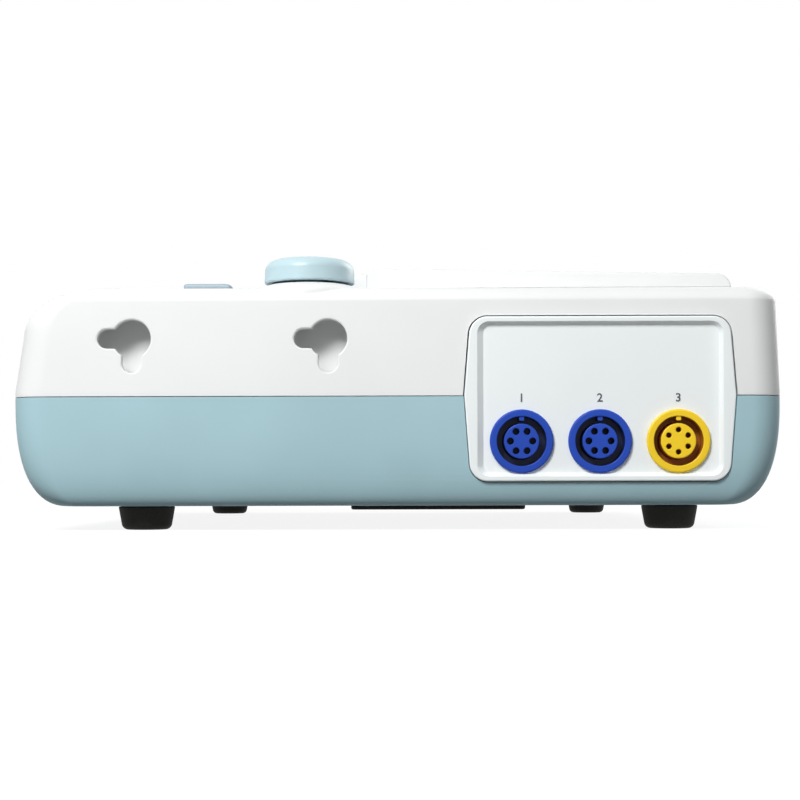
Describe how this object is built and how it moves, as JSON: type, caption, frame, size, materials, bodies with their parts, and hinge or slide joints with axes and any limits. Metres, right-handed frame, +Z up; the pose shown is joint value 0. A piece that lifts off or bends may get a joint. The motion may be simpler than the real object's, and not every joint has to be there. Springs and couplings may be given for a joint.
{
  "type": "cardiotocograph",
  "caption": "Desktop fetal monitor in a low two-part casing with round transducer sockets, a flip-up display, a knob, keys and a strip-chart recorder.",
  "frame": {"origin": "on the ground under the middle of the casing", "axes": "+Z up, -Y the front, +X the right-hand side with the transducer sockets"},
  "size_m": [0.35, 0.3004, 0.1081],
  "materials": {
    "white_casing": "fine matte moulding",
    "grey_casing": "fine matte moulding",
    "knob_plastic": "semi-gloss",
    "key_plastic": "satin",
    "blue_plastic": "semi-gloss",
    "yellow_plastic": "semi-gloss",
    "black_rubber": "matte",
    "black_plastic": "fine matte moulding",
    "screen_glass": "polished, dark",
    "window_glass": "polished, smoke tint",
    "steel": "plated",
    "brass": "bare",
    "supply_case": "folded sheet",
    "circuit_board": "solder resist",
    "chart_paper": "folded paper"
  },
  "bodies": {
    "casing": {"upper_casing": "white_casing", "lower_casing": "grey_casing", "port_panel": "white_casing", "rear_plate": "white_casing", "socket_1_shell": "blue_plastic", "socket_1_insert": "blue_plastic", "socket_2_shell": "blue_plastic", "socket_2_insert": "blue_plastic", "socket_3_shell": "yellow_plastic", "socket_3_insert": "yellow_plastic", "foot_front_left": "black_rubber", "foot_front_right": "black_rubber", "foot_rear_left": "black_rubber", "foot_rear_right": "black_rubber", "battery_cover": "black_plastic", "battery_pack": "black_plastic", "cover_screw_left": "steel", "cover_screw_right": "steel", "casing_screw_1": "steel", "casing_screw_2": "steel", "casing_screw_3": "steel", "casing_screw_4": "steel", "hinge_bracket_left": "steel", "hinge_bracket_right": "steel", "encoder_body": "black_plastic", "key_board": "circuit_board", "recorder_tray": "white_casing", "recorder_motor": "steel", "print_head": "steel", "paper_pack": "chart_paper", "power_inlet": "black_plastic", "switch_frame": "black_plastic", "earth_post": "brass", "network_port": "steel", "serial_port": "steel", "power_supply": "supply_case", "main_board": "circuit_board", "speaker": "black_plastic"},
    "display": {"display_back": "white_casing", "display_bezel": "white_casing", "display_glass": "screen_glass", "display_panel": "black_plastic"},
    "knob_plunger": {"encoder_plunger": "brass"},
    "knob": {"knob_cap": "knob_plastic", "encoder_shaft": "steel"},
    "key_body_1": {"key_1": "key_plastic"},
    "key_body_2": {"key_2": "key_plastic"},
    "key_body_3": {"key_3": "key_plastic"},
    "key_body_4": {"key_4": "key_plastic"},
    "key_body_5": {"key_5": "key_plastic"},
    "key_body_6": {"key_6": "key_plastic"},
    "release_body": {"release_key": "key_plastic"},
    "door": {"recorder_door": "white_casing", "door_window": "window_glass"},
    "platen": {"platen_roller": "black_rubber", "platen_gear": "white_casing"},
    "drive": {"motor_pinion": "brass"},
    "rocker": {"switch_rocker": "black_plastic"}
  },
  "joints": [
    {"name": "display_tilt", "type": "hinge", "parent": "casing", "child": "display", "pos_m": [0, -0.017, 0.1013], "axis": [1, 0, 0], "range_deg": [0, 75]},
    {"name": "knob_press", "type": "slide", "parent": "casing", "child": "knob_plunger", "axis": [0, 0, -1], "range_m": [0, 0.0006], "stiffness_N_per_m": 5000, "springref_m": -0.0003},
    {"name": "knob_turn", "type": "hinge", "parent": "knob_plunger", "child": "knob", "pos_m": [0.148, -0.0354, 0.0846], "axis": [0, 0, 1], "continuous": true},
    {"name": "key_1_press", "type": "slide", "parent": "casing", "child": "key_body_1", "axis": [0, 0, -1], "range_m": [0, 0.001], "stiffness_N_per_m": 1500, "springref_m": -0.0003},
    {"name": "key_2_press", "type": "slide", "parent": "casing", "child": "key_body_2", "axis": [0, 0, -1], "range_m": [0, 0.001], "stiffness_N_per_m": 1500, "springref_m": -0.0003},
    {"name": "key_3_press", "type": "slide", "parent": "casing", "child": "key_body_3", "axis": [0, 0, -1], "range_m": [0, 0.001], "stiffness_N_per_m": 1500, "springref_m": -0.0003},
    {"name": "key_4_press", "type": "slide", "parent": "casing", "child": "key_body_4", "axis": [0, 0, -1], "range_m": [0, 0.001], "stiffness_N_per_m": 1500, "springref_m": -0.0003},
    {"name": "key_5_press", "type": "slide", "parent": "casing", "child": "key_body_5", "axis": [0, 0, -1], "range_m": [0, 0.001], "stiffness_N_per_m": 1500, "springref_m": -0.0003},
    {"name": "key_6_press", "type": "slide", "parent": "casing", "child": "key_body_6", "axis": [0, 0, -1], "range_m": [0, 0.001], "stiffness_N_per_m": 1500, "springref_m": -0.0003},
    {"name": "release_press", "type": "slide", "parent": "casing", "child": "release_body", "axis": [0, 0, -1], "range_m": [0, 0.001], "stiffness_N_per_m": 1500, "springref_m": -0.0003},
    {"name": "door_swing", "type": "hinge", "parent": "casing", "child": "door", "pos_m": [-0.065, -0.0285, 0.0915], "axis": [-1, 0, 0], "range_deg": [0, 70]},
    {"name": "platen_spin", "type": "hinge", "parent": "casing", "child": "platen", "pos_m": [0.0204, -0.108, 0.083], "axis": [1, 0, 0], "continuous": true},
    {"name": "motor_spin", "type": "hinge", "parent": "casing", "child": "drive", "pos_m": [0.0204, -0.108, 0.0707], "axis": [1, 0, 0], "continuous": true},
    {"name": "power_rock", "type": "hinge", "parent": "casing", "child": "rocker", "pos_m": [-0.07, 0.1433, 0.0328], "axis": [1, 0, 0], "range_deg": [0, 22]}
  ],
  "couplings": [
    {"joint": "motor_spin", "follows": "platen_spin", "ratio": -2}
  ]
}
